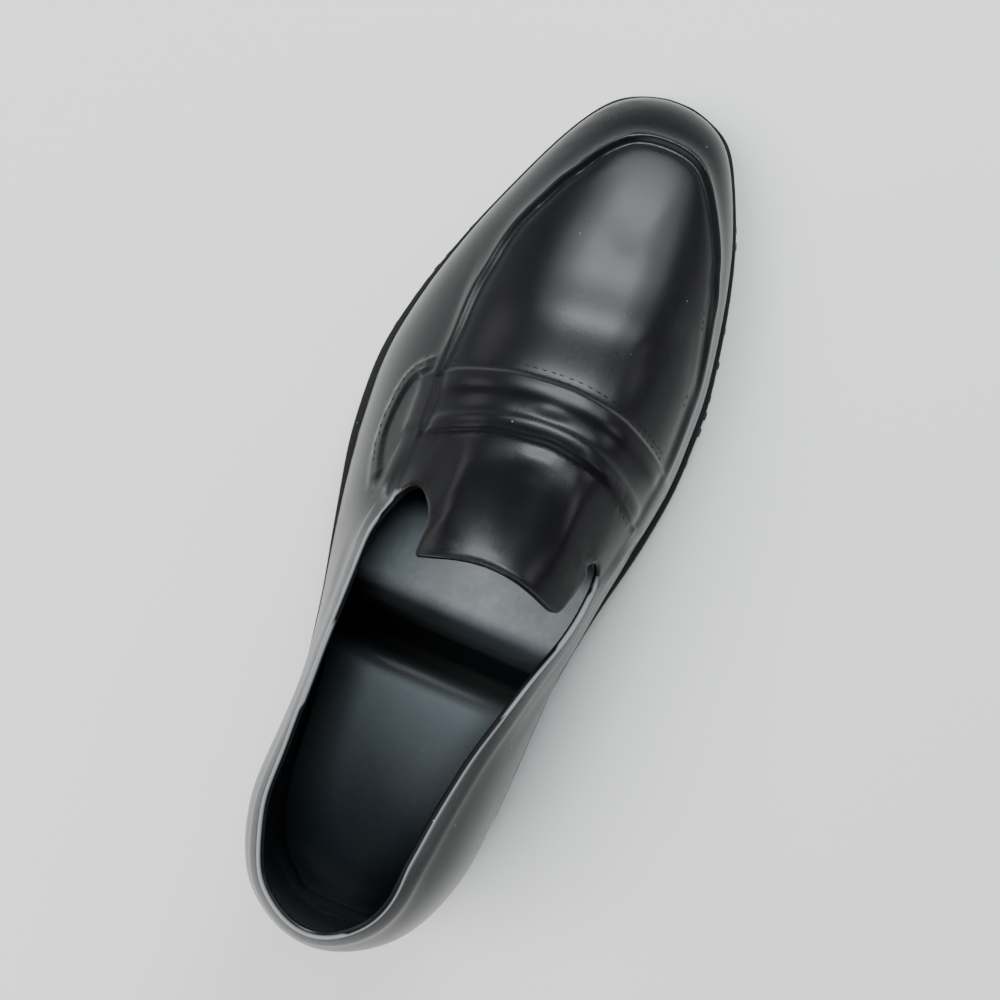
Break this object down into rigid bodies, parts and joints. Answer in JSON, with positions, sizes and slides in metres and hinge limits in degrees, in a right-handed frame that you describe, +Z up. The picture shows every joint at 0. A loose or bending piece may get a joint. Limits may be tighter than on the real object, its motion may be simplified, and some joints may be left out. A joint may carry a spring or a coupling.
{
  "type": "rubber overshoe",
  "caption": "Moulded black rubber overshoe shaped like a strapped loafer, left foot, open at the collar, with a ribbed sole and heel.",
  "frame": {"origin": "on the ground plane, under the middle of the heel", "axes": "+X towards the toe, +Y towards the outer side of the left foot, +Z up"},
  "size_m": [0.2996, 0.113, 0.0869],
  "materials": {
    "upper": "smooth black moulded rubber with a soft gloss",
    "outsole": "smooth black rubber, a little duller than the upper",
    "forefoot_tread": "matt black rubber",
    "heel_tread": "matt black rubber",
    "insole": "smooth blue-black rubber with a soft sheen"
  },
  "bodies": {
    "root": {"upper": "upper", "outsole": "outsole", "forefoot_tread": "forefoot_tread", "heel_tread": "heel_tread", "insole": "insole"}
  },
  "joints": []
}
